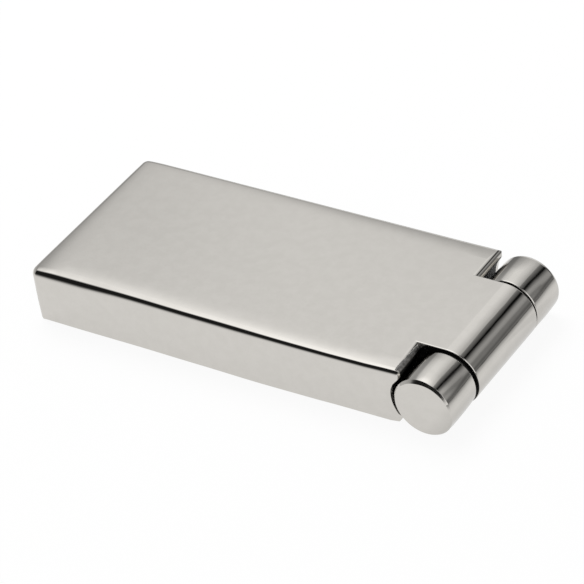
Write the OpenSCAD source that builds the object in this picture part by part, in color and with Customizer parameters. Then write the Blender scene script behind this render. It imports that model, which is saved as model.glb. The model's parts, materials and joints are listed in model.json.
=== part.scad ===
// Concealed hinge of polished cast stainless steel, shown folded.
// The hollow cover leaf hides the frame leaf, which nests in its underside.
// X runs from the far end (-) to the barrel (+), Y along the barrel, Z up.
// The origin is midway along the hinge and across its leaf, on the plane that it lies on.

/* [Cover leaf] */
// Length from the far end to the ends beside the barrel
leaf_len = 82.8; // [70:0.1:120]
// Width across the hinge
leaf_w = 40; // [36:0.5:48]
// Height of the leaf, and diameter of the barrel that is flush with it
leaf_h = 12.4; // [12:0.1:14]
// Thickness of the face that shows
roof_t = 2.8; // [2:0.1:3.3]
// Thickness of the long side walls
side_t = 2.6; // [2:0.1:3]
// Thickness of the far end wall
end_t = 3; // [2:0.1:5]
// Length of the solid neck between the hollow and the barrel's notches
neck_t = 5.6; // [4.5:0.1:8]
// Radius of the top's long edges
top_edge_r = 1.1; // [0.5:0.1:1.5]
// Radius of the top's edge at the far end
far_edge_r = 1.4; // [0.5:0.1:2]
// Radius of the top's edge at the notches
notch_edge_r = 1.1; // [0.5:0.1:2]
// Radius of the bottom edge at the far end
far_bottom_r = 1.6; // [0.3:0.1:2]
// Radius of the bottom edge beside the barrel
bottom_edge_r = 0.8; // [0.3:0.1:1.2]
// Radius of the upright corners at the far end
corner_r = 1.3; // [0.5:0.1:2]
// Radius of the upright corners at the notches
notch_corner_r = 0.7; // [0.3:0.1:1]
// Width over which the polishing rolls the top off to its long edges
side_roll_w = 4; // [2:0.5:6]
// Drop of the top at its long edges
side_roll_drop = 0.14; // [0.05:0.01:0.25]
// Width over which the polishing rolls the top off to its far end
end_roll_w = 8; // [4:0.5:10]
// Drop of the top at its far end
end_roll_drop = 0.3; // [0.1:0.05:0.4]
// Radius of the corners inside the hollow
hollow_r = 2.5; // [1.5:0.1:3]

/* [Cover leaf fixings] */
// Diameter of the tapped holes
tap_d = 5; // [4:0.5:5]
// Depth of the tapped holes from the back
tap_depth = 9; // [7:0.5:9.5]
// Diameter of the bosses round the tapped holes
boss_d = 8.4; // [8:0.1:9]
// Distance from the leaf's side to the middle of a tapped hole
tap_from_side = 6.5; // [6.2:0.1:7]
// Distance from the far end to the first pair of tapped holes
tap_from_end = 13.8; // [12:0.1:18]
// Thickness of the ribs between the bosses
rib_t = 2; // [1.5:0.1:3]

/* [Barrel] */
// Distance from the notches to the pin's axis
axis_out = 5.6; // [5.4:0.1:6.5]
// How far the front side knuckle stands proud of the leaf's side
front_proud = 0.65; // [0.1:0.05:1.5]
// How far the rear side knuckle stands proud of the leaf's side
rear_proud = 0.15; // [0.1:0.05:1.5]
// Length of the front side knuckle, which is closed
front_knuckle_len = 9.15; // [8:0.05:10.5]
// Length of the rear side knuckle, which the pin goes in through
rear_knuckle_len = 8.85; // [8:0.05:10.5]
// Open joint between the front and centre knuckles
front_gap = 0.75; // [0.6:0.05:1.2]
// Open joint between the centre and rear knuckles
rear_gap = 0.4; // [0.4:0.05:0.5]
// Gap between the side knuckles and the hollowed ends of the cover leaf
relief_gap = 1.05; // [0.8:0.05:1.3]
// Radius of the outer edges of the side knuckles
knuckle_edge_r = 0.9; // [0.3:0.05:1]
// Radius of the edges at the joints between knuckles
joint_edge_r = 0.3; // [0.1:0.05:0.35]
// Drop of the side knuckles' polished crown at their ends
crown_drop = 0.12; // [0.05:0.01:0.2]

/* [Pin and bushes] */
// Diameter of the pin
pin_d = 6; // [5:0.5:6.5]
// Metal left in front of the pin at the closed end
blind_t = 2; // [1:0.1:3]
// Chamfer on the pin's leading end
pin_chamfer = 0.5; // [0.3:0.1:0.8]
// Running clearance between pin and bush, on the radius
pin_clear = 0.04; // [0.02:0.01:0.08]
// Wall of the bushes
bush_wall = 1; // [0.8:0.1:1.2]
// Length of each bush in the centre knuckle
bush_len = 8; // [6:0.5:10]
// Diameter of the bushes' collars
collar_d = 10.6; // [10:0.1:11]
// End play left beside the rear bush's collar
end_play = 0.05; // [0.03:0.01:0.1]

/* [Frame leaf] */
// Thickness of the tongue and the crosshead
tongue_t = 4; // [3.5:0.1:4.5]
// Length of the crosshead that carries the arms
crosshead_len = 12; // [11:0.5:14]
// Height of the arms where they run into the knuckles
arm_h = 6; // [5.5:0.1:6.4]
// Clearance all round inside the hollow
nest_clear = 0.8; // [0.6:0.1:1]
// Clearance between the tongue and the ribs above it
rest_clear = 0.1; // [0.05:0.01:0.2]
// Radius in the tongue's and crosshead's corners
web_r = 2.5; // [1:0.1:3]
// Diameter of the screw holes
screw_d = 5.4; // [4.5:0.1:5.5]
// Diameter of the countersinks at the surface
sink_d = 10.4; // [9:0.1:10.6]
// Distance from the tongue's tip to the first screw hole
screw_from_tip = 9; // [8:0.5:12]
// Distance from the crosshead's end to the last screw hole
screw_from_head = 7; // [6.5:0.5:9]

/* [Hidden] */
$fn = 96;
// The shallow arcs are short pieces of large circles, so these have more sides
roll_fn = 720;
// How far an edge's arc stands out of the roll-off that it runs into, so that they cross
blend = 0.0003;
polished = [0.80, 0.79, 0.77];
cast_steel = [0.66, 0.66, 0.65];
ground = [0.72, 0.73, 0.74];
acetal = [0.05, 0.05, 0.05];
// How far a cut runs past the face that it opens
cut = 1;

barrel_r = leaf_h / 2;
total_len = leaf_len + axis_out + barrel_r;
far_x = -total_len / 2;
end_x = far_x + leaf_len;
axis_x = end_x + axis_out;
axis_z = barrel_r;
half_w = leaf_w / 2;

hollow_x = far_x + end_t;
neck_x = end_x - neck_t;
hollow_z = leaf_h - roof_t;
hollow_half = half_w - side_t;
doorway_z = arm_h + nest_clear;
plan_radii = [corner_r, notch_corner_r, notch_corner_r, corner_r];

front_y = -half_w - front_proud;
rear_y = half_w + rear_proud;
front_in_y = front_y + front_knuckle_len;
rear_in_y = rear_y - rear_knuckle_len;
centre_y0 = front_in_y + front_gap;
centre_y1 = rear_in_y - rear_gap;

// The neck's lower edge swings round the pin on this radius as the hinge opens
neck_swing_r = norm([axis_x - neck_x, axis_z]);
head_x = axis_x - neck_swing_r - nest_clear;
crosshead_x = head_x - crosshead_len;
head_half = hollow_half - nest_clear;
tip_x = hollow_x + 2 * nest_clear;
screw_x0 = tip_x + screw_from_tip;
screw_pitch = (head_x - screw_from_head - screw_x0) / 2;
sink_t = (sink_d - screw_d) / 2;

tap_y = half_w - tap_from_side;
tap_x = [far_x + tap_from_end, crosshead_x - nest_clear - boss_d / 2];
tongue_w = 2 * tap_y - boss_d - nest_clear;
rib_z = tongue_t + rest_clear;

bush_bore_d = pin_d + 2 * pin_clear;
bush_d = bush_bore_d + 2 * bush_wall;
collar_t = rear_gap - end_play;

// A box between two opposite corners
module block(p, q) {
    translate(p)
        cube(q - p);
}

// The piece between a corner and a circle of radius r inside it, towards the circle.
// It rounds an outside corner when it is taken off, and fillets an inside one when added.
module spandrel(corner, r, towards) {
    translate(corner)
        difference() {
            translate([towards[0] > 0 ? -cut : -r, towards[1] > 0 ? -cut : -r])
                square(r + cut);
            translate(r * towards)
                circle(r);
        }
}

// A rectangle with its own radius at each corner, from the lower left one round
module round_rect(p, q, r) {
    difference() {
        translate(p)
            square(q - p);
        spandrel(p, r[0], [1, 1]);
        spandrel([q[0], p[1]], r[1], [-1, 1]);
        spandrel(q, r[2], [-1, -1]);
        spandrel([p[0], q[1]], r[3], [1, -1]);
    }
}

// Radius of the arc on which a face rolls off by d over a width w
function roll_r(w, d) = (w * w + d * d) / (2 * d);

// What polishing takes off a flat face at y = 0, which rolls off by d from x = 0 to w
module roll_waste(w, d) {
    difference() {
        translate([0, -d - cut])
            square([w + cut, d + 2 * cut]);
        translate([0, -roll_r(w, d)])
            circle(roll_r(w, d), $fn = roll_fn);
    }
}

// What an edge radius r then takes off between such a roll-off and the side at x = w
module roll_edge_waste(w, d, r) {
    lean = asin((w - r) / (roll_r(w, d) - r));
    middle = [w - r, (roll_r(w, d) - r) * cos(lean) - roll_r(w, d) + blend];
    out = middle + 2 * r * [sin(lean), cos(lean)];
    difference() {
        polygon([middle, out, [w + cut, out[1]], [w + cut, middle[1]]]);
        translate(middle)
            circle(r);
    }
}

// A section drawn in X and Z, carried along Y
module along_y(y0, y1) {
    translate([0, y1, 0])
        rotate([90, 0, 0])
            linear_extrude(y1 - y0)
                children();
}

// A section drawn in Y and Z, carried along X
module along_x(x0, x1) {
    translate([x0, 0, 0])
        rotate([90, 0, 90])
            linear_extrude(x1 - x0)
                children();
}

// Places what is turned about Z on the pin's axis, with Z now along Y
module on_axis(y) {
    translate([axis_x, y, axis_z])
        rotate([-90, 0, 0])
            children();
}

// A round bar on the pin's axis
module axis_bar(d, y0, y1) {
    on_axis(y0)
        cylinder(d = d, h = y1 - y0);
}

// The centre knuckle, straight so that the leaf's top runs onto it
module centre_knuckle() {
    on_axis(0)
        rotate_extrude()
            difference() {
                translate([0, centre_y0])
                    square([barrel_r, centre_y1 - centre_y0]);
                spandrel([barrel_r, centre_y0], joint_edge_r, [-1, 1]);
                spandrel([barrel_r, centre_y1], joint_edge_r, [-1, -1]);
            }
}

// What polishing takes off a knuckle's surface from its middle to one end, drawn at Y = 0
module crown_waste(half_len, r) {
    translate([barrel_r, 0])
        rotate(-90) {
            roll_waste(half_len, crown_drop);
            roll_edge_waste(half_len, crown_drop, r);
        }
}

// A side knuckle, crowned by the polishing, with its own edge radius at each end
module side_knuckle(y0, y1, r0, r1) {
    half_len = (y1 - y0) / 2;
    on_axis(y0 + half_len)
        rotate_extrude()
            difference() {
                translate([0, -half_len])
                    square([barrel_r, 2 * half_len]);
                crown_waste(half_len, r0);
                mirror([0, 1])
                    crown_waste(half_len, r1);
            }
}

// Both of a section's sides, from the one at +
module both_sides() {
    for (m = [0, 1])
        mirror([m, 0])
            children();
}

// The leaf's outside: a block that is first rolled off and then rounded
module leaf_body() {
    difference() {
        linear_extrude(leaf_h)
            round_rect([far_x, -half_w], [end_x, half_w], plan_radii);
        along_x(far_x - cut, end_x + cut)
            both_sides()
                translate([half_w - side_roll_w, leaf_h])
                    roll_waste(side_roll_w, side_roll_drop);
        along_y(-half_w - cut, half_w + cut)
            translate([far_x + end_roll_w, leaf_h])
                mirror([1, 0])
                    roll_waste(end_roll_w, end_roll_drop);
        along_x(far_x - cut, end_x + cut)
            both_sides() {
                translate([half_w - side_roll_w, leaf_h])
                    roll_edge_waste(side_roll_w, side_roll_drop, top_edge_r);
                spandrel([half_w, 0], joint_edge_r, [-1, 1]);
            }
        along_y(-half_w - cut, half_w + cut) {
            translate([far_x + end_roll_w, leaf_h])
                mirror([1, 0])
                    roll_edge_waste(end_roll_w, end_roll_drop, far_edge_r);
            spandrel([far_x, 0], far_bottom_r, [1, 1]);
            spandrel([end_x, 0], bottom_edge_r, [-1, 1]);
            spandrel([end_x, leaf_h], notch_edge_r, [-1, -1]);
        }
    }
}

// The hollow underside, with doorways beside the neck for the frame leaf's arms
module leaf_hollow() {
    translate([0, 0, -cut])
        linear_extrude(hollow_z + cut)
            round_rect([hollow_x, -hollow_half], [neck_x, hollow_half], hollow_r * [1, 1, 1, 1]);
    block([neck_x - hollow_r, -hollow_half, -cut], [end_x + cut, centre_y0, doorway_z]);
    block([neck_x - hollow_r, centre_y1, -cut], [end_x + cut, hollow_half, doorway_z]);
}

// The neck that carries the centre knuckle, flush with the leaf's top
module neck() {
    along_x(neck_x, axis_x)
        round_rect([centre_y0, 0], [centre_y1, leaf_h], joint_edge_r * [1, 1, 1, 1]);
}

module cover_leaf() color(polished) {
    difference() {
        union() {
            difference() {
                leaf_body();
                leaf_hollow();
                axis_bar(2 * (barrel_r + relief_gap), -half_w - cut, half_w + cut);
            }
            neck();
            centre_knuckle();
            for (x = tap_x) {
                block([x - rib_t / 2, -tap_y, rib_z], [x + rib_t / 2, tap_y, hollow_z + cut]);
                for (y = [-tap_y, tap_y])
                    translate([x, y, 0])
                        cylinder(d = boss_d, h = hollow_z + cut);
            }
        }
        axis_bar(bush_d, centre_y0 - cut, centre_y1 + cut);
        for (x = tap_x)
            for (y = [-tap_y, tap_y])
                translate([x, y, -cut])
                    cylinder(d = tap_d, h = tap_depth + cut);
    }
}

// The tongue and the crosshead as one flat outline, with its corners filleted
module frame_outline() {
    difference() {
        union() {
            translate([tip_x + tongue_w / 2, 0])
                circle(d = tongue_w);
            translate([tip_x + tongue_w / 2, -tongue_w / 2])
                square([head_x - tip_x - tongue_w / 2, tongue_w]);
            translate([crosshead_x, -head_half])
                square([crosshead_len, 2 * head_half]);
            spandrel([crosshead_x, tongue_w / 2], web_r, [-1, 1]);
            spandrel([crosshead_x, -tongue_w / 2], web_r, [-1, -1]);
        }
        spandrel([crosshead_x, head_half], web_r, [1, -1]);
        spandrel([crosshead_x, -head_half], web_r, [1, 1]);
    }
}

// An arm: it rises out of the crosshead and runs into its knuckle
module arm(y0, y1) {
    along_y(y0, y1)
        polygon([
            [crosshead_x + web_r, 0],
            [axis_x, 0],
            [axis_x, arm_h],
            [head_x, arm_h],
            [head_x - 2 * (arm_h - tongue_t), tongue_t],
            [crosshead_x + web_r, tongue_t]
        ]);
}

module frame_leaf() color(cast_steel) {
    difference() {
        union() {
            linear_extrude(tongue_t)
                frame_outline();
            arm(-head_half, front_in_y);
            arm(rear_in_y, head_half);
            side_knuckle(front_y, front_in_y, knuckle_edge_r, joint_edge_r);
            side_knuckle(rear_in_y, rear_y, joint_edge_r, knuckle_edge_r);
        }
        axis_bar(pin_d, front_y + blind_t, front_in_y + cut);
        axis_bar(pin_d, rear_in_y - cut, rear_y + cut);
        for (i = [0 : 2])
            translate([screw_x0 + i * screw_pitch, 0, 0]) {
                translate([0, 0, -cut])
                    cylinder(d = screw_d, h = tongue_t + cut);
                translate([0, 0, tongue_t - sink_t])
                    cylinder(d1 = screw_d, d2 = sink_d, h = sink_t);
                translate([0, 0, tongue_t])
                    cylinder(d = sink_d, h = cut);
            }
    }
}

module hinge_pin() color(ground) {
    on_axis(front_y + blind_t) {
        cylinder(d1 = pin_d - 2 * pin_chamfer, d2 = pin_d, h = pin_chamfer);
        translate([0, 0, pin_chamfer])
            cylinder(d = pin_d, h = rear_y - front_y - blind_t - pin_chamfer);
    }
}

// A bush pressed into the centre knuckle, with its collar against the end face
module bush(y0, y1, collar_y0) {
    color(acetal)
        difference() {
            union() {
                axis_bar(bush_d, y0, y1);
                axis_bar(collar_d, collar_y0, collar_y0 + collar_t);
            }
            axis_bar(bush_bore_d, y0 - cut, y1 + cut);
        }
}

module front_bush() bush(centre_y0 - collar_t, centre_y0 + bush_len, centre_y0 - collar_t);

module rear_bush() bush(centre_y1 - bush_len, centre_y1 + collar_t, centre_y1);

cover_leaf();
frame_leaf();
hinge_pin();
front_bush();
rear_bush();
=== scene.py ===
import json
import math

import bmesh
import bpy
from mathutils import Matrix, Vector
from mathutils.geometry import barycentric_transform

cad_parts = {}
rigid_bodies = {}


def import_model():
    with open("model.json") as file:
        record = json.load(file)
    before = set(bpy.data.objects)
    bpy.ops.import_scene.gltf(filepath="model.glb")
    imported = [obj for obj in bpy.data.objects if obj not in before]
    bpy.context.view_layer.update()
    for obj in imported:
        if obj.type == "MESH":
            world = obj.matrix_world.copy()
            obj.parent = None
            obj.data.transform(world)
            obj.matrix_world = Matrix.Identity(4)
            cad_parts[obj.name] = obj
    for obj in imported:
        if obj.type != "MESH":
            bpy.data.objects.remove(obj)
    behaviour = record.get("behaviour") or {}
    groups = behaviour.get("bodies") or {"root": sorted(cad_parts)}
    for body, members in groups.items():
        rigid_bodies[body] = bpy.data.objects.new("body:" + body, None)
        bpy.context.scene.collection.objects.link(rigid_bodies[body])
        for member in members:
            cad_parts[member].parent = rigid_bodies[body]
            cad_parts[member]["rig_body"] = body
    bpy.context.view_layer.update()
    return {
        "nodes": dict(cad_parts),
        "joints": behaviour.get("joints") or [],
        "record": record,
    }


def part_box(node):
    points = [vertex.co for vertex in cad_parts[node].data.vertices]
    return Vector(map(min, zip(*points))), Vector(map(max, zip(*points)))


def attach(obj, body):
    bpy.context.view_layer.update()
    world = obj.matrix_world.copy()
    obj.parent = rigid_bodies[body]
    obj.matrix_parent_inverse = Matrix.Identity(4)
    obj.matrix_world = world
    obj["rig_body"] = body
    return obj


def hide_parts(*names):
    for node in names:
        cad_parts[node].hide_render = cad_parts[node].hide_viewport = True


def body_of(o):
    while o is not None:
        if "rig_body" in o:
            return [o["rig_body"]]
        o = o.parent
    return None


# The folded concealed hinge: the polished skins of its two castings, its threads and its studio
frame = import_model()

MM = 0.001

# Camera, as the photograph has it
CAM_AZIMUTH = 38.44
CAM_ELEVATION = 36.52
CAM_ROLL = -9.9
CAM_DISTANCE = 0.6075
CAM_TARGET = (-0.00069, 0.00067, 0.00535)
FOCAL_PX = 3182.4
FRAME_PX = 584
SENSOR_MM = 36.0

nodes = frame["nodes"]
joint = frame["joints"][0]
mounts = {mount["name"]: mount for mount in frame["record"]["mounts"]}

# The hinge's own places in millimetres, as the CAD has them
AXIS_X = joint["pos_m"][0] / MM
AXIS_Z = joint["pos_m"][2] / MM
BARREL_R = AXIS_Z
LEAF_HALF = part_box("cover_leaf")[1].y / MM
LEAF_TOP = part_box("cover_leaf")[1].z / MM
FAR_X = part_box("cover_leaf")[0].x / MM
FRONT_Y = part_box("frame_leaf")[0].y / MM
CENTRE_Y0 = -10.75
CENTRE_Y1 = 10.9
END_X = 35.5
HOLLOW_X = -44.3
HOLLOW_HALF = 17.4
HOLLOW_Z = 9.6
RELIEF_R = 7.25


def linked(name, data):
    """An object with this mesh, lamp or camera, in the scene."""
    piece = bpy.data.objects.new(name, data)
    bpy.context.scene.collection.objects.link(piece)
    return piece


def make_camera():
    az, el, roll = (math.radians(a) for a in (CAM_AZIMUTH, CAM_ELEVATION, CAM_ROLL))
    back = Vector((math.sin(az) * math.cos(el), -math.cos(az) * math.cos(el), math.sin(el)))
    right = Vector((math.cos(az), math.sin(az), 0.0))
    up = back.cross(right)
    cam_x = math.cos(roll) * right + math.sin(roll) * up
    cam_y = -math.sin(roll) * right + math.cos(roll) * up
    place = Vector(CAM_TARGET) + CAM_DISTANCE * back
    data = bpy.data.cameras.new("camera")
    data.sensor_width = SENSOR_MM
    data.lens = FOCAL_PX / FRAME_PX * SENSOR_MM
    data.clip_start = 0.01
    data.clip_end = 50.0
    cam = linked("camera", data)
    cam.matrix_world = Matrix((
        (cam_x.x, cam_y.x, back.x, place.x),
        (cam_x.y, cam_y.y, back.y, place.y),
        (cam_x.z, cam_y.z, back.z, place.z),
        (0.0, 0.0, 0.0, 1.0),
    ))
    bpy.context.scene.camera = cam


class Tree:
    """A material's or the world's nodes, with short calls to make and link them."""

    def __init__(self, owner):
        owner.use_nodes = True
        self.nodes = owner.node_tree.nodes
        self.links = owner.node_tree.links
        self.nodes.clear()

    def add(self, kind, inputs=None, **settings):
        node = self.nodes.new(kind)
        for key, value in settings.items():
            setattr(node, key, value)
        for key, value in (inputs or {}).items():
            self.put(node.inputs[key], value)
        return node

    def put(self, socket, value):
        if isinstance(value, bpy.types.NodeSocket):
            self.links.new(value, socket)
        else:
            socket.default_value = value

    def math(self, operation, *values):
        node = self.add("ShaderNodeMath", operation=operation)
        for socket, value in zip(node.inputs, values):
            self.put(socket, value)
        return node.outputs[0]

    def product(self, first, *rest):
        for value in rest:
            first = self.math("MULTIPLY", first, value)
        return first

    def highest(self, first, *rest):
        for value in rest:
            first = self.math("MAXIMUM", first, value)
        return first

    def spread(self, value, lo, hi, to_lo=0.0, to_hi=1.0, kind="SMOOTHSTEP"):
        """Runs from to_lo to to_hi as value goes from lo to hi, and stays there beyond."""
        node = self.add("ShaderNodeMapRange", {"Value": value, "From Min": lo, "From Max": hi,
                                               "To Min": to_lo, "To Max": to_hi},
                        interpolation_type=kind)
        return node.outputs[0]

    def inside(self, value, lo, hi, soft):
        """1 between lo and hi, and 0 outside, with edges of width soft."""
        return self.product(self.spread(value, lo - soft, lo), self.spread(value, hi + soft, hi))

    def levels(self, value, stops):
        """A curve through (value, level) stops, the levels up to TOP_LEVEL."""
        first, last = stops[0][0], stops[-1][0]
        node = self.add("ShaderNodeValToRGB", {"Fac": self.spread(value, first, last, kind="LINEAR")})
        elements = node.color_ramp.elements
        elements.remove(elements[-1])
        for i, (at, level) in enumerate(stops):
            place = (at - first) / (last - first)
            element = elements[0] if i == 0 else elements.new(place)
            element.position = place
            element.color = (level / TOP_LEVEL, level / TOP_LEVEL, level / TOP_LEVEL, 1.0)
        return self.math("MULTIPLY", node.outputs["Color"], TOP_LEVEL)

    def mix(self, factor, a, b):
        node = self.add("ShaderNodeMix", data_type="FLOAT")
        self.put(node.inputs[0], factor)
        self.put(node.inputs[2], a)
        self.put(node.inputs[3], b)
        return node.outputs[0]

    def tint(self, factor, a, b):
        node = self.add("ShaderNodeMix", data_type="RGBA")
        self.put(node.inputs[0], factor)
        self.put(node.inputs[6], a)
        self.put(node.inputs[7], b)
        return node.outputs[2]

    def split(self, vector):
        return self.add("ShaderNodeSeparateXYZ", {0: vector}).outputs

    def place_mm(self):
        """The point on the piece itself, in millimetres, so it stays put when the piece swings."""
        where = self.add("ShaderNodeTexCoord").outputs["Object"]
        scaled = self.add("ShaderNodeVectorMath", {0: where, "Scale": 1 / MM}, operation="SCALE")
        return scaled.outputs[0]

    def noise(self, vector, sizes, detail=2.0, roughness=0.5):
        """Noise of about 0 to 1 whose grains have the given sizes along X, Y and Z."""
        scaled = self.add("ShaderNodeVectorMath", {0: vector, 1: sizes}, operation="DIVIDE").outputs[0]
        node = self.add("ShaderNodeTexNoise", {"Vector": scaled, "Scale": 1.0, "Detail": detail,
                                               "Roughness": roughness})
        return node.outputs["Fac"]

    def seen(self):
        """1 for the rays that show the background: camera, mirror and glass."""
        path = self.add("ShaderNodeLightPath").outputs
        return self.highest(path["Is Camera Ray"], path["Is Glossy Ray"], path["Is Transmission Ray"])


def new_material(name):
    mat = bpy.data.materials.new(name)
    return mat, Tree(mat)


# The light all round, and the floor. FLOOR_SHADOW is the part of its look that light makes
WORLD_LIGHT = 0.55
FLOOR_COLOUR = (0.86, 0.86, 0.86, 1.0)
FLOOR_SHADOW = 0.08
FLOOR_HALF = 30.0


def make_world():
    world = bpy.data.worlds.new("world")
    bpy.context.scene.world = world
    tree = Tree(world)
    light = tree.add("ShaderNodeBackground", {"Color": (1, 1, 1, 1), "Strength": WORLD_LIGHT})
    white = tree.add("ShaderNodeBackground", {"Color": (1, 1, 1, 1), "Strength": 1.0})
    mix = tree.add("ShaderNodeMixShader", {0: tree.seen(), 1: light.outputs[0], 2: white.outputs[0]})
    tree.add("ShaderNodeOutputWorld", {"Surface": mix.outputs[0]})


def square(name, half, height):
    """A flat square that faces up."""
    mesh = bpy.data.meshes.new(name)
    corners = [(x * half, y * half, height) for x, y in ((-1, -1), (1, -1), (1, 1), (-1, 1))]
    mesh.from_pydata(corners, [], [(0, 1, 2, 3)])
    return linked(name, mesh)


def mirrors_only(piece):
    """Shows a piece to mirror rays and to no other rays."""
    for ray in ("camera", "diffuse", "transmission", "volume_scatter", "shadow"):
        setattr(piece, "visible_" + ray, False)


def make_floor():
    floor = square("floor", FLOOR_HALF, 0.0)
    mat, tree = new_material("floor")
    shade = tree.add("ShaderNodeBsdfDiffuse", {"Color": FLOOR_COLOUR})
    white = tree.add("ShaderNodeEmission", {"Color": (1, 1, 1, 1), "Strength": 1.0})
    part = tree.math("MULTIPLY", tree.seen(), 1.0 - FLOOR_SHADOW)
    pale = tree.add("ShaderNodeMixShader", {0: part, 1: shade.outputs[0], 2: white.outputs[0]})
    clear = tree.add("ShaderNodeBsdfTransparent")
    back = tree.add("ShaderNodeNewGeometry").outputs["Backfacing"]
    both = tree.add("ShaderNodeMixShader", {0: back, 1: pale.outputs[0], 2: clear.outputs[0]})
    tree.add("ShaderNodeOutputMaterial", {"Surface": both.outputs[0]})
    floor.data.materials.append(mat)


# The studio that the metal mirrors, as light levels over a unit sphere of directions.
# Along X, the wall behind: a pale panel that dims to the left, a black gap, then dim cards
WALL = [(-1.0, 0.65), (-0.8, 0.48), (-0.72, 0.42), (-0.67, 0.44), (-0.64, 0.54), (-0.62, 0.7),
        (-0.6, 0.8), (-0.55, 0.87), (-0.53, 0.92), (-0.5, 0.96), (-0.44, 0.98), (-0.4, 1.04),
        (-0.37, 1.07), (-0.18, 1.05), (-0.11, 1.0), (0.05, 0.82), (0.13, 0.69), (0.225, 0.56),
        (0.25, 0.25), (0.35, 0.13), (0.39, 0.08), (0.41, 0.005), (0.46, 0.005), (0.485, 0.06),
        (0.54, 0.22), (0.6, 0.4), (0.63, 0.43), (0.67, 0.4), (0.7, 0.25), (0.74, 0.24), (0.76, 0.31)]
# Towards +Y, how the panel dims and comes back lower down, and how far it leans with X
PANEL_FOOT = [(0.69, 1.0), (0.705, 0.985), (0.715, 0.95), (0.725, 0.9), (0.735, 0.82), (0.75, 0.7),
              (0.77, 0.56), (0.79, 0.5), (0.82, 0.56), (0.86, 0.8), (0.9, 1.0)]
PANEL_LEAN = -0.1
# Towards -Y, how much brighter the soft box overhead is than the panel, its lean with X left of
# SOFT_LEAN_X, and where it ends at the left
SOFT_BOX = [(-0.2, 1.58), (0.2, 1.5), (0.6, 1.45), (0.655, 1.38), (0.665, 1.3), (0.675, 1.21),
            (0.685, 1.13), (0.695, 1.07), (0.705, 1.03), (0.72, 1.0)]
SOFT_LEAN = -0.2
SOFT_LEAN_X = -0.4
SOFT_END_X = (-0.55, -0.62)
TOP_LEVEL = 2.0
# The dark front starts along Y, and this much later far to the left
FRONT_Y_FROM = (-0.32, -0.55)
FRONT_LATER = 0.2
FRONT_LATER_X = (-0.6, -0.9)
FRONT_DARK = 0.015
FRONT_GLOW = 0.25
GLOW_Z = (0.22, -0.05)
# To the right, the front is a grey panel with a dark band low across it
FRONT_SPLIT_X = (-0.12, 0.1)
FRONT_PANEL = 0.6
BAND_Y = (-0.88, -0.7)
BAND_Z = (0.22, 0.05)
# A bright card low at the right
CARD_X = (0.55, 0.7)
CARD_Y = (-0.6, 0.05)
CARD_Z = (0.75, 0.6)
CARD_LEVEL = 1.3
STUDIO_R = 2.0
# How the floor that the metal mirrors dims away from the hinge, in millimetres. The dip just beside the
# hinge, at the right and behind, is the hinge's shadow on the floor, painted into the net
FLOOR_FRONT = [(35, 1.0), (43, 0.93), (56, 0.82), (105, 0.56), (220, 0.36), (900, 0.25)]
FLOOR_RIGHT = [(40, 1.0), (44, 0.86), (50, 0.86), (56, 0.96), (66, 0.92), (76, 0.8), (92, 0.6),
               (157, 0.35), (300, 0.12)]
FLOOR_BACK_SHIFT = 27.0
NET_HEIGHT = 0.0001
NET_HALF = 1.9


def make_dome():
    rings, sides = 24, 48
    verts = [(0, 0, STUDIO_R)]
    for i in range(1, rings + 1):
        up = math.pi / 2 * (1 - i / rings)
        for k in range(sides):
            a = 2 * math.pi * k / sides
            out = STUDIO_R * math.cos(up)
            verts.append((out * math.cos(a), out * math.sin(a), STUDIO_R * math.sin(up)))
    faces = [(0, 1 + k, 1 + (k + 1) % sides) for k in range(sides)]
    for i in range(rings - 1):
        a = 1 + i * sides
        for k in range(sides):
            n = (k + 1) % sides
            faces.append((a + k, a + sides + k, a + sides + n, a + n))
    mesh = bpy.data.meshes.new("studio")
    mesh.from_pydata(verts, [], faces)
    return mesh


def make_studio():
    """A dome that only mirrors see: a soft box overhead, panels behind and a dark front."""
    dome = linked("studio", make_dome())
    mirrors_only(dome)
    mat, tree = new_material("studio")
    where = tree.add("ShaderNodeTexCoord").outputs["Object"]
    towards = tree.add("ShaderNodeVectorMath", {0: where}, operation="NORMALIZE")
    x, y, z = tree.split(towards.outputs[0])

    foot = tree.levels(tree.math("MULTIPLY_ADD", x, PANEL_LEAN, y), PANEL_FOOT)
    nearer = tree.math("MULTIPLY_ADD", tree.math("MINIMUM", x, SOFT_LEAN_X), SOFT_LEAN, y)
    soft = tree.mix(tree.spread(x, *SOFT_END_X), tree.levels(nearer, SOFT_BOX), 1.0)
    light = tree.product(tree.levels(x, WALL), foot, soft)

    later = tree.math("MULTIPLY_ADD", tree.spread(x, *FRONT_LATER_X), FRONT_LATER, y)
    dark = tree.spread(later, *FRONT_Y_FROM)
    band = tree.highest(tree.inside(y, *BAND_Y, 0.05), tree.spread(z, *BAND_Z))
    right = tree.spread(x, *FRONT_SPLIT_X)
    dark = tree.mix(right, dark, band)
    low = tree.spread(z, *GLOW_Z, FRONT_DARK, FRONT_GLOW)
    panel = tree.mix(tree.spread(y, *FRONT_Y_FROM), light, FRONT_PANEL)
    light = tree.mix(dark, tree.mix(right, light, panel), low)
    card = tree.product(tree.spread(x, *CARD_X), tree.inside(y, *CARD_Y, 0.15),
                        tree.spread(z, *CARD_Z))
    light = tree.mix(card, light, CARD_LEVEL)

    glow = tree.add("ShaderNodeEmission", {"Color": (1, 1, 1, 1), "Strength": light})
    tree.add("ShaderNodeOutputMaterial", {"Surface": glow.outputs[0]})
    dome.data.materials.append(mat)


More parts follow.
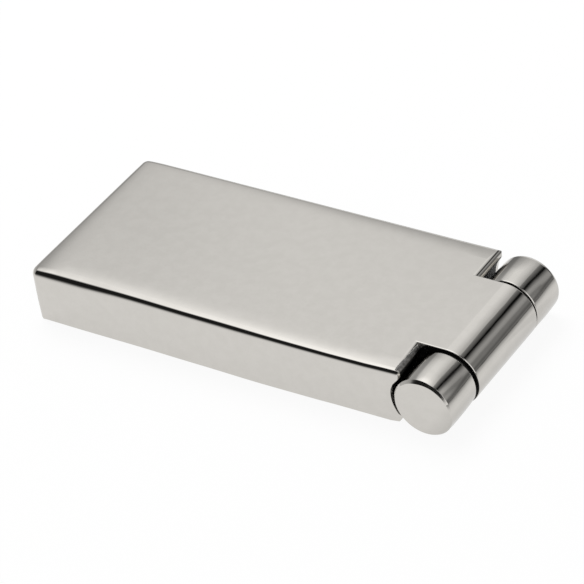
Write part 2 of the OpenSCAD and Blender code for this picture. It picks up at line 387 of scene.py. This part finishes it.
def make_net():
    """Black netting over the floor that only mirrors see, denser away from the hinge, and denser just
    beside it, where it paints the hinge's shadow on the floor.
    """
    net = square("floor_net", NET_HALF, NET_HEIGHT)
    mirrors_only(net)
    mat, tree = new_material("floor_net")
    x, y, z = tree.split(tree.place_mm())
    front = tree.levels(tree.math("MULTIPLY", y, -1.0), FLOOR_FRONT)
    # FLOOR_RIGHT's dip, at the right and behind, is painted shadow of the hinge on the floor
    right = tree.levels(x, FLOOR_RIGHT)
    back = tree.levels(tree.math("ADD", y, FLOOR_BACK_SHIFT), FLOOR_RIGHT)
    open_part = tree.math("MINIMUM", front, tree.math("MINIMUM", right, back))
    black = tree.add("ShaderNodeEmission", {"Color": (0, 0, 0, 1), "Strength": 0.0})
    clear = tree.add("ShaderNodeBsdfTransparent")
    both = tree.add("ShaderNodeMixShader", {0: open_part, 1: black.outputs[0], 2: clear.outputs[0]})
    tree.add("ShaderNodeOutputMaterial", {"Surface": both.outputs[0]})
    net.data.materials.append(mat)


# The soft lamp that gives the floor its shadow. Mirrors don't see it
LAMP_PLACE = (-0.5, 0.4, 1.2)
LAMP_SIZE = 0.9
LAMP_POWER = 14.0


def make_lamp():
    data = bpy.data.lights.new("key", "AREA")
    data.shape = "SQUARE"
    data.size = LAMP_SIZE
    data.energy = LAMP_POWER
    lamp = linked("key", data)
    lamp.location = LAMP_PLACE
    lamp.rotation_euler = (-Vector(LAMP_PLACE)).to_track_quat("-Z", "Y").to_euler()
    lamp.visible_camera = False
    lamp.visible_glossy = False


# The metal's colours
POLISHED = (0.612, 0.592, 0.558, 1.0)
POLISHED_DULL = (0.592, 0.572, 0.538, 1.0)
# Near black painted shade for the cover leaf's low notch walls and the relief round the barrel
PAINTED_SHADE = (0.02, 0.02, 0.019, 1.0)
CAST_PALE = (0.42, 0.41, 0.395, 1.0)
CAST_DARK = (0.2, 0.196, 0.188, 1.0)
GROUND = (0.56, 0.555, 0.545, 1.0)
ACETAL = (0.014, 0.014, 0.014, 1.0)
# Roughness of the mirror finish on each leaf, and of the skin as cast
COVER_GLOSS = 0.05
FRAME_GLOSS = 0.08
CAST_ROUGH = (0.42, 0.62)
# Heights in millimetres of the waves, streaks and grain in the metal's skin
WAVE_DEPTH = 0.010
STREAK_DEPTH = 0.014
GRAIN_DEPTH = 0.12


def from_axis(tree, x, z):
    """Distance from the pin's axis, in millimetres."""
    dx = tree.math("SUBTRACT", x, AXIS_X)
    dz = tree.math("SUBTRACT", z, AXIS_Z)
    return tree.math("SQRT", tree.math("ADD", tree.product(dx, dx), tree.product(dz, dz)))


def cover_cast(tree, x, y, z):
    """Where the cover leaf is as cast, in its hollow and notches, and where painted shade darkens its
    low notch walls and the relief round the barrel.
    """
    hollow = tree.product(tree.inside(x, HOLLOW_X - 0.1, END_X, 0.05),
                          tree.inside(y, -HOLLOW_HALF - 0.1, HOLLOW_HALF + 0.1, 0.05),
                          tree.spread(z, HOLLOW_Z + 0.1, HOLLOW_Z + 0.05))
    beside = tree.math("SUBTRACT", 1.0, tree.inside(y, CENTRE_Y0 + 0.12, CENTRE_Y1 - 0.12, 0.05))
    relief = tree.spread(from_axis(tree, x, z), RELIEF_R + 0.35, RELIEF_R + 0.05)
    beside = tree.product(beside, tree.inside(y, 1.0 - LEAF_HALF, LEAF_HALF - 1.0, 0.15),
                          tree.spread(z, 0.6, 1.2))
    ragged = tree.noise(tree.place_mm(), (0.7, 0.7, 0.7), detail=3.0)
    wall = tree.spread(tree.math("MULTIPLY_ADD", ragged, 0.3, x), END_X - 0.16, END_X - 0.08)
    wall = tree.product(wall, tree.spread(y, 0.0, -1.0))
    low_wall = tree.product(wall, tree.spread(z, LEAF_TOP - 0.9, LEAF_TOP - 1.4))
    # Painted shade: the low notch walls and the relief round the barrel are painted near black
    notch_shade = tree.product(beside, tree.highest(relief, low_wall))
    return tree.highest(hollow, tree.product(beside, tree.highest(relief, wall))), notch_shade


def frame_cast(tree, x, y, z):
    """Where the frame leaf is left as cast: all but the round of its knuckles."""
    ragged = tree.noise(tree.place_mm(), (0.8, 0.8, 0.8), detail=3.0)
    reach = tree.spread(y, FRONT_Y + 0.8, FRONT_Y + 1.2, AXIS_X - BARREL_R - 1.0, AXIS_X - 4.6)
    knuckle = tree.math("SUBTRACT", tree.math("MULTIPLY_ADD", ragged, 1.5, x), reach)
    knuckle = tree.spread(knuckle, 0.0, 0.7)
    return tree.math("SUBTRACT", 1.0, knuckle), 0.0


def steel(name, cast_mask, gloss):
    """Mirror-polished stainless steel, which the mask leaves rough and dull where it is as cast."""
    mat, tree = new_material(name)
    place = tree.place_mm()
    x, y, z = tree.split(place)
    cast, notch_shade = cast_mask(tree, x, y, z)
    barrel = tree.spread(x, AXIS_X - 0.45 * BARREL_R, AXIS_X + 0.1 * BARREL_R)

    # Polishing leaves the faces gently wavy, and draws streaks along the barrel
    waves = tree.noise(place, (9.0, 7.0, 7.0), detail=1.0)
    streaks = tree.noise(place, (1.2, 8.0, 1.2), detail=2.0)
    haze = tree.noise(place, (2.5, 2.5, 2.5), detail=3.0, roughness=0.6)
    smooth_height = tree.math("ADD", tree.product(waves, WAVE_DEPTH),
                              tree.product(streaks, barrel, STREAK_DEPTH))
    smooth_rough = tree.spread(haze, 0.3, 0.7, 0.8 * gloss, 1.4 * gloss)

    # As cast, the skin is grainy and pitted, and dark where it was not blasted clean
    grain = tree.noise(place, (0.55, 0.55, 0.55), detail=4.0, roughness=0.62)
    stain = tree.noise(place, (4.0, 4.0, 4.0), detail=4.0, roughness=0.6)
    patchy = tree.math("ADD", tree.product(stain, 0.55), tree.product(grain, 0.45))
    cast_colour = tree.tint(tree.spread(patchy, 0.4, 0.6), CAST_DARK, CAST_PALE)
    # Painted shade: near black over the low notch walls and the relief round the barrel
    cast_colour = tree.tint(notch_shade, cast_colour, PAINTED_SHADE)
    polished = tree.tint(tree.spread(haze, 0.3, 0.7), POLISHED_DULL, POLISHED)

    bump = tree.add("ShaderNodeBump", {
        "Strength": 1.0, "Distance": MM,
        "Height": tree.mix(cast, smooth_height, tree.product(grain, GRAIN_DEPTH))})
    bsdf = tree.add("ShaderNodeBsdfPrincipled", {
        "Base Color": tree.tint(cast, polished, cast_colour), "Metallic": 1.0,
        "Roughness": tree.mix(cast, smooth_rough, tree.spread(grain, 0.3, 0.7, *CAST_ROUGH)),
        "Normal": bump.outputs[0]})
    tree.add("ShaderNodeOutputMaterial", {"Surface": bsdf.outputs[0]})
    return mat


def turned(name, colour, metallic, roughness, groove_mm, groove_depth):
    """A turned or ground round piece, with fine marks that run round the pin's axis."""
    mat, tree = new_material(name)
    place = tree.place_mm()
    x, y, z = tree.split(place)
    radius = from_axis(tree, x, z)
    marks = tree.noise(tree.add("ShaderNodeCombineXYZ", {0: radius, 1: y, 2: 0.0}).outputs[0],
                       (groove_mm, groove_mm, 1.0), detail=3.0)
    wear = tree.noise(place, (1.5, 1.5, 1.5), detail=3.0)
    bump = tree.add("ShaderNodeBump", {"Strength": 1.0, "Distance": MM,
                                       "Height": tree.product(marks, groove_depth)})
    low, high = (tuple(part * shade for part in colour[:3]) + (1.0,) for shade in (0.88, 1.08))
    bsdf = tree.add("ShaderNodeBsdfPrincipled", {
        "Base Color": tree.tint(wear, low, high), "Metallic": metallic,
        "Roughness": tree.spread(wear, 0.3, 0.7, roughness * 0.85, roughness * 1.2),
        "Normal": bump.outputs[0]})
    tree.add("ShaderNodeOutputMaterial", {"Surface": bsdf.outputs[0]})
    return mat


def dress():
    looks = {
        "cover_leaf": steel("polished_cover", cover_cast, COVER_GLOSS),
        "frame_leaf": steel("cast_frame", frame_cast, FRAME_GLOSS),
        "hinge_pin": turned("ground_pin", GROUND, 1.0, 0.2, 0.12, 0.004),
        "front_bush": turned("acetal", ACETAL, 0.0, 0.42, 0.2, 0.01),
    }
    looks["rear_bush"] = looks["front_bush"]
    for name, look in looks.items():
        nodes[name].material_slots[0].material = look
    for piece, name in ((finish_leaf(), "cover_leaf"), (finish_frame(), "frame_leaf")):
        piece.data.materials.append(looks[name])
    return looks["cover_leaf"]


# The hand polishing, which softened the cast shapes that the CAD gives. All in millimetres.
# The far corners in plan, at the top, at the foot and in the CAD
CORNER_R = 1.6
CORNER_FOOT_R = 0.95
CAD_CORNER_R = 1.3
# How wide and how deep the top rolls off to the sides and to the far end, and in the CAD
SIDE_ROLL = (6.0, 0.14)
END_ROLL = (8.0, 0.27)
CAD_ROLL = (4.0, 0.14)
# The top edges' radii, the near one by its place along X
NEAR_EDGE_R = [(-47, 1.6), (-41, 1.9), (-36, 1.9), (-24, 1.5), (-12, 1.4), (0, 1.4), (10, 1.2),
               (26, 1.1)]
FAR_EDGE_R = 1.4
BACK_EDGE_R = 1.1
# How far the hand-ground near side lies inside the CAD's flat one, along its top and its foot,
# and how far in from that side the skin starts to move with it and moves fully
NEAR_TOP_IN = [(-47, 0.03), (-38, 0.09), (-25, 0.22), (-8, 0.0), (12, -0.15), (22, -0.1),
               (28, 0.05), (36, 0.35)]
NEAR_FOOT_IN = [(-47, 0.2), (-36, 0.14), (-25, 0.16), (-10, 0.03), (4, -0.13), (14, -0.02),
                (24, 0.2), (36, 0.3)]
BOW_DEEP = (4.5, 2.0)
# The polished skin is shaped anew up to here, short of the notches and the bottom edge
SKIN_X = 33.0
SKIN_Z = 2.0
# How near a point is to a face to count as on it
TOUCH = 0.05
# The notch's front corner leans out, and its tip at the bottom is worn round
NOTCH_LEAN = 0.7
TIP_R = 1.7
CAD_TIP_R = 0.8
# The side knuckles narrow by this much for each millimetre towards the rear, from these places
TAPER = 0.0118
TAPER_FROM = (-16.6, 15.2)
# Nothing moves nearer to the pin than this, or left of this place beside its axis
KNUCKLE_CORE_R = 4.8
ARM_LEFT = -5.8
# How far the CAD's crowned knuckles drop to their ends
CROWN_DROP = 0.12
# The front knuckle's edge, round to EDGE_R in the CAD, becomes a narrow flat, whose width
# changes with the angle in degrees round the pin
EDGE_R = 0.9
CHAMFER = [(-180, 0.3), (10, 0.3), (60, 0.5), (95, 0.64), (125, 0.5), (150, 0.3), (180, 0.3)]
# Where each angle of the CAD's round goes: 0 to 1 on the end, 1 to 2 on the flat, 2 to 3 on the side
EDGE_PATH = [(0, 0), (23.5, 0.93), (31.3, 1.0), (39.2, 1.12), (47, 1.88), (54.8, 2.0),
             (62.7, 2.1), (90, 3)]


def smooth(value, lo, hi):
    t = min(1.0, max(0.0, (value - lo) / (hi - lo)))
    return t * t * (3 - 2 * t)


def blend(t, a, b):
    return a + (b - a) * t


def along(stops, value):
    """Runs smoothly through (value, result) stops."""
    result = stops[0][1]
    for (at, _), (then, end) in zip(stops, stops[1:]):
        result += (end - result) * smooth(value, at, then) if value > at else 0.0
    return result


def corner_r(z):
    """The far corners' radius in plan, which grows from the bottom up."""
    return blend(smooth(z, 2.0, 13.0), CORNER_FOOT_R, CORNER_R)


def through(stops, value):
    """Runs straight through (value, result) stops."""
    for (at, result), (then, end) in zip(stops, stops[1:]):
        if value <= then:
            return blend((value - at) / (then - at), result, end)
    return stops[-1][1]


def rolled(inside, width, drop, power):
    """How far a face has rolled off at a distance inside its edge."""
    return drop * max(0.0, 1 - inside / width) ** power


def rounded(a, b, r):
    """How far a point is inside an edge rounded to r, from how far it is inside both its faces."""
    if a >= r or b >= r:
        return min(a, b)
    return r - math.hypot(r - a, r - b)


def corner_reach(c, s, size, r):
    """How far a square corner rounded to r is from a middle that lies size inside it, along (c, s)."""
    k = size - r
    if s * size <= k * c:
        return size / c
    if c * size <= k * s:
        return size / s
    return k * (c + s) + math.sqrt((k * (c + s)) ** 2 - 2 * k * k + r * r)


def rerounded(a, b, size, old, new):
    """A point's distances a and b inside two faces, once their corner's radius goes from old to new."""
    u, v = size - a, size - b
    far = math.hypot(u, v)
    if u <= 0 or v <= 0 or far == 0:
        return a, b
    scale = corner_reach(u / far, v / far, size, new) / corner_reach(u / far, v / far, size, old)
    return size - u * scale, size - v * scale


def leaf_inside(p):
    """How far a point is inside the polished leaf, and 0 on its skin."""
    end, side = p.x - FAR_X, LEAF_HALF - abs(p.y)
    kept = smooth(p.x, 22.0, SKIN_X)
    side_drop = blend(kept, rolled(side, *SIDE_ROLL, 3), rolled(side, *CAD_ROLL, 2))
    top = LEAF_TOP - side_drop - rolled(end, *END_ROLL, 3) - p.z
    long_r = along(NEAR_EDGE_R, p.x) if p.y < 0 else BACK_EDGE_R
    edge_r = blend(smooth(side - end, -2.0, 2.0), long_r, FAR_EDGE_R)
    return rounded(rounded(end, side, corner_r(p.z)), top, edge_r)


def bowed(p):
    """Takes the near side to where it was ground."""
    rise = smooth(p.z, 0.0, LEAF_TOP - 1.0)
    inward = blend(rise, along(NEAR_FOOT_IN, p.x), along(NEAR_TOP_IN, p.x))
    near = smooth(-p.y, LEAF_HALF - BOW_DEEP[0], LEAF_HALF - BOW_DEEP[1])
    return Vector((p.x, p.y + inward * near, p.z))


def leaf_move(p):
    """Where a point of the CAD's cover leaf goes when the leaf is polished."""
    within = abs(p.y) < HOLLOW_HALF + TOUCH and p.z < HOLLOW_Z + TOUCH
    if p.x > HOLLOW_X - TOUCH and within or p.x > END_X + 0.01:
        return p.copy()
    return bowed(skin_move(p))


def skin_move(p):
    """Where a point of the leaf's outside goes before the near side is bowed."""
    end, side = p.x - FAR_X, LEAF_HALF - abs(p.y)
    if p.x > SKIN_X + 0.001:
        x, z = p.x, p.z
        if side < LEAF_HALF - HOLLOW_HALF + TOUCH:
            inside_x, z = rerounded(END_X - x, z, TIP_R, CAD_TIP_R, TIP_R)
            x = END_X - inside_x
        lean = NOTCH_LEAN * min(1.0, max(0.0, (CENTRE_Y0 - p.y) / (LEAF_HALF + CENTRE_Y0)))
        return Vector((x + lean * smooth(z, 8.0, 11.0) * smooth(x, SKIN_X, 34.3), p.y, z))
    if end > END_ROLL[0] and side > SIDE_ROLL[0]:
        return p.copy()
    if p.z < SKIN_Z - 0.001:
        end, side = rerounded(end, side, CORNER_R, CAD_CORNER_R, corner_r(p.z))
        return Vector((FAR_X + end, math.copysign(LEAF_HALF - side, p.y), p.z))
    reach = LEAF_HALF - CORNER_R
    core = Vector((max(p.x, FAR_X + CORNER_R),
                   min(reach, max(-reach, p.y)),
                   min(p.z, LEAF_TOP - CORNER_R)))
    return pushed(core, p, leaf_inside).lerp(p, smooth(p.x, SKIN_X - 4.0, SKIN_X))


def pushed(core, p, inside):
    """The point where the line from core through p leaves the shape."""
    out = p - core
    near, far = 0.8, 1.1
    inside_near, inside_far = inside(core + out * near), inside(core + out * far)
    for _ in range(8):
        if abs(inside_far - inside_near) < 1e-9:
            break
        step = far - inside_far * (far - near) / (inside_far - inside_near)
        near, inside_near = far, inside_far
        far, inside_far = step, inside(core + out * step)
    return core + out * far


def tapered(radius, y, turn):
    """The radius of a side knuckle at y, tapered where it faces out."""
    middle = TAPER_FROM[0] if y < 0 else TAPER_FROM[1]
    facing = smooth(turn, 165.0, 125.0) * smooth(turn, -120.0, -80.0)
    facing *= smooth(radius, KNUCKLE_CORE_R, KNUCKLE_CORE_R + 0.8)
    return radius - TAPER * (y - middle) * facing


def knuckle_move(p):
    """Where a point of the CAD's frame leaf goes: knuckles tapered, the front edge a flat."""
    across, up = p.x - AXIS_X, p.z - AXIS_Z
    radius, deep = math.hypot(across, up), p.y - FRONT_Y
    if radius < KNUCKLE_CORE_R or radius > BARREL_R + TOUCH or across < ARM_LEFT:
        return p.copy()
    turn = math.degrees(math.atan2(up, across))
    skin = BARREL_R - CROWN_DROP
    centre = skin - EDGE_R
    if deep < EDGE_R - 0.01 and radius > centre:
        arc = math.degrees(math.atan2(radius - centre, EDGE_R - deep))
        chamfer = along(CHAMFER, turn)
        path = through(EDGE_PATH, arc)
        part = path - int(path)
        rim = (skin - chamfer, 0.0), (skin - 0.02, chamfer), (skin, EDGE_R)
        if path < 1:
            new_radius, new_deep = blend(part, centre, rim[0][0]), 0.0
        elif path < 2:
            new_radius, new_deep = blend(part, rim[0][0], rim[1][0]), blend(part, 0.0, chamfer)
        else:
            part = path - 2
            new_radius, new_deep = blend(part, rim[1][0], rim[2][0]), blend(part, chamfer, EDGE_R)
    else:
        new_radius, new_deep = radius, deep
    scale = tapered(new_radius, p.y, turn) / radius
    return Vector((AXIS_X + across * scale, FRONT_Y + new_deep, max(0.0, AXIS_Z + up * scale)))


# The step in millimetres that feels how the skin turns
PROBE = 0.004


def carried(move, p, normal):
    """The skin's normal where a point has moved to, from how the skin round it moves."""
    side = normal.orthogonal().normalized() * PROBE
    other = normal.cross(side)
    a = move(p + side) - move(p - side)
    b = move(p + other) - move(p - other)
    turned_to = a.cross(b)
    return turned_to.normalized() if turned_to.length > 0 else normal


def planes(axis, first, last, step):
    """Evenly spaced places on one axis, at which a skin is cut finer."""
    count = max(1, round((last - first) / step))
    return [(axis, first + (last - first) * i / count) for i in range(count + 1)]


def finished(node, name, cuts, move):
    """A copy of a CAD piece whose skin is cut finer and moved to its polished shape."""
    source = nodes[node].data
    source.calc_loop_triangles()
    normals = source.corner_normals
    points = [v.co / MM for v in source.vertices]
    bm = bmesh.new()
    tag = bm.faces.layers.int.new("triangle")
    verts = [bm.verts.new(p) for p in points]
    flat = []
    for tri in source.loop_triangles:
        bm.faces.new([verts[i] for i in tri.vertices])[tag] = len(flat)
        known = [normals[i].vector.copy() for i in tri.loops]
        flat.append(([points[i] for i in tri.vertices], known))
    for axis, at in cuts:
        place, across = Vector((0, 0, 0)), Vector((0, 0, 0))
        place[axis], across[axis] = at, 1.0
        bmesh.ops.bisect_plane(bm, geom=bm.verts[:] + bm.edges[:] + bm.faces[:], dist=1e-4,
                               plane_co=place, plane_no=across)
    bent = []
    for face in bm.faces:
        corners, known = flat[face[tag]]
        for loop in face.loops:
            p = loop.vert.co
            normal = barycentric_transform(p, *corners, *known)
            normal = normal.normalized() if 0.5 < normal.length < 2 else known[0]
            bent.append(carried(move, p, normal))
    for vert in bm.verts:
        vert.co = move(vert.co) * MM
    mesh = bpy.data.meshes.new(name)
    bm.to_mesh(mesh)
    bm.free()
    for face in mesh.polygons:
        face.use_smooth = True
    mesh.normals_split_custom_set(bent)
    piece = linked(name, mesh)
    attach(piece, body_of(nodes[node])[0])
    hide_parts(node)
    return piece


def finish_leaf():
    cuts = planes(0, FAR_X + 0.2, FAR_X + 3.0, 0.2) + planes(0, FAR_X + 3.5, FAR_X + 10.0, 0.5)
    cuts += planes(0, FAR_X + 12.0, SKIN_X, 4.0) + [(2, SKIN_Z)]
    cuts += planes(2, LEAF_TOP - 2.6, LEAF_TOP - 0.2, 0.2)
    for side in (-1, 1):
        cuts += [(axis, side * at) for axis, at in planes(1, LEAF_HALF - 6.0, LEAF_HALF - 3.0, 0.5)]
        cuts += [(axis, side * at) for axis, at in planes(1, LEAF_HALF - 2.8, LEAF_HALF - 0.2, 0.2)]
    return finished("cover_leaf", "cover_leaf_polished", cuts, leaf_move)


def finish_frame():
    return finished("frame_leaf", "frame_leaf_polished", [], knuckle_move)


# The M5 threads in the cover leaf's tapped holes, in millimetres
THREAD_PITCH = 0.8
THREAD_DEPTH = 0.42
THREAD_START = 0.5
THREAD_END = 8.4
THREAD_STEPS = 36
# Half the ridge's width at its root, as a part of the pitch, and at its crest, as a part of that
THREAD_ROOT = 0.44
THREAD_CREST = 0.12


def make_thread(name, x, y, root_r):
    """The ridge of a thread: a triangular section that climbs round the hole's wall."""
    turns = (THREAD_END - THREAD_START) / THREAD_PITCH
    count = int(turns * THREAD_STEPS)
    half = THREAD_PITCH * THREAD_ROOT
    flat = half * THREAD_CREST
    verts, faces = [], []
    for i in range(count + 1):
        a = 2 * math.pi * i / THREAD_STEPS
        fade = min(1.0, i / THREAD_STEPS, (count - i) / THREAD_STEPS)
        z = THREAD_START + THREAD_PITCH * i / THREAD_STEPS
        tall = THREAD_DEPTH * fade
        for r, dz in ((root_r, -half), (root_r - tall, -flat), (root_r - tall, flat), (root_r, half)):
            verts.append(((x + r * math.cos(a)) * MM, (y + r * math.sin(a)) * MM, (z + dz) * MM))
        if i:
            b = 4 * i
            for k in range(4):
                n = (k + 1) % 4
                faces.append((b - 4 + k, b + k, b + n, b - 4 + n))
    last = 4 * count
    faces.append((3, 2, 1, 0))
    faces.append((last, last + 1, last + 2, last + 3))
    mesh = bpy.data.meshes.new(name)
    mesh.from_pydata(verts, [], faces)
    mesh.update()
    return linked(name, mesh)


def make_threads(look):
    taps = mounts["cover_taps"]
    dims = taps["dims"]
    for i in range(dims["count"]):
        side_x, side_y = (-1 if i < 2 else 1), (-1 if i % 2 == 0 else 1)
        x = taps["pos_m"][0] / MM + side_x * dims["spacing_x_mm"] / 2
        y = taps["pos_m"][1] / MM + side_y * dims["spacing_y_mm"] / 2
        thread = make_thread(f"tap_thread_{i + 1}", x, y, dims["hole_r_mm"])
        thread.data.materials.append(look)
        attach(thread, "cover")


make_camera()
make_world()
make_floor()
make_studio()
make_net()
make_lamp()
make_threads(dress())

bpy.context.scene.view_settings.view_transform = "Standard"
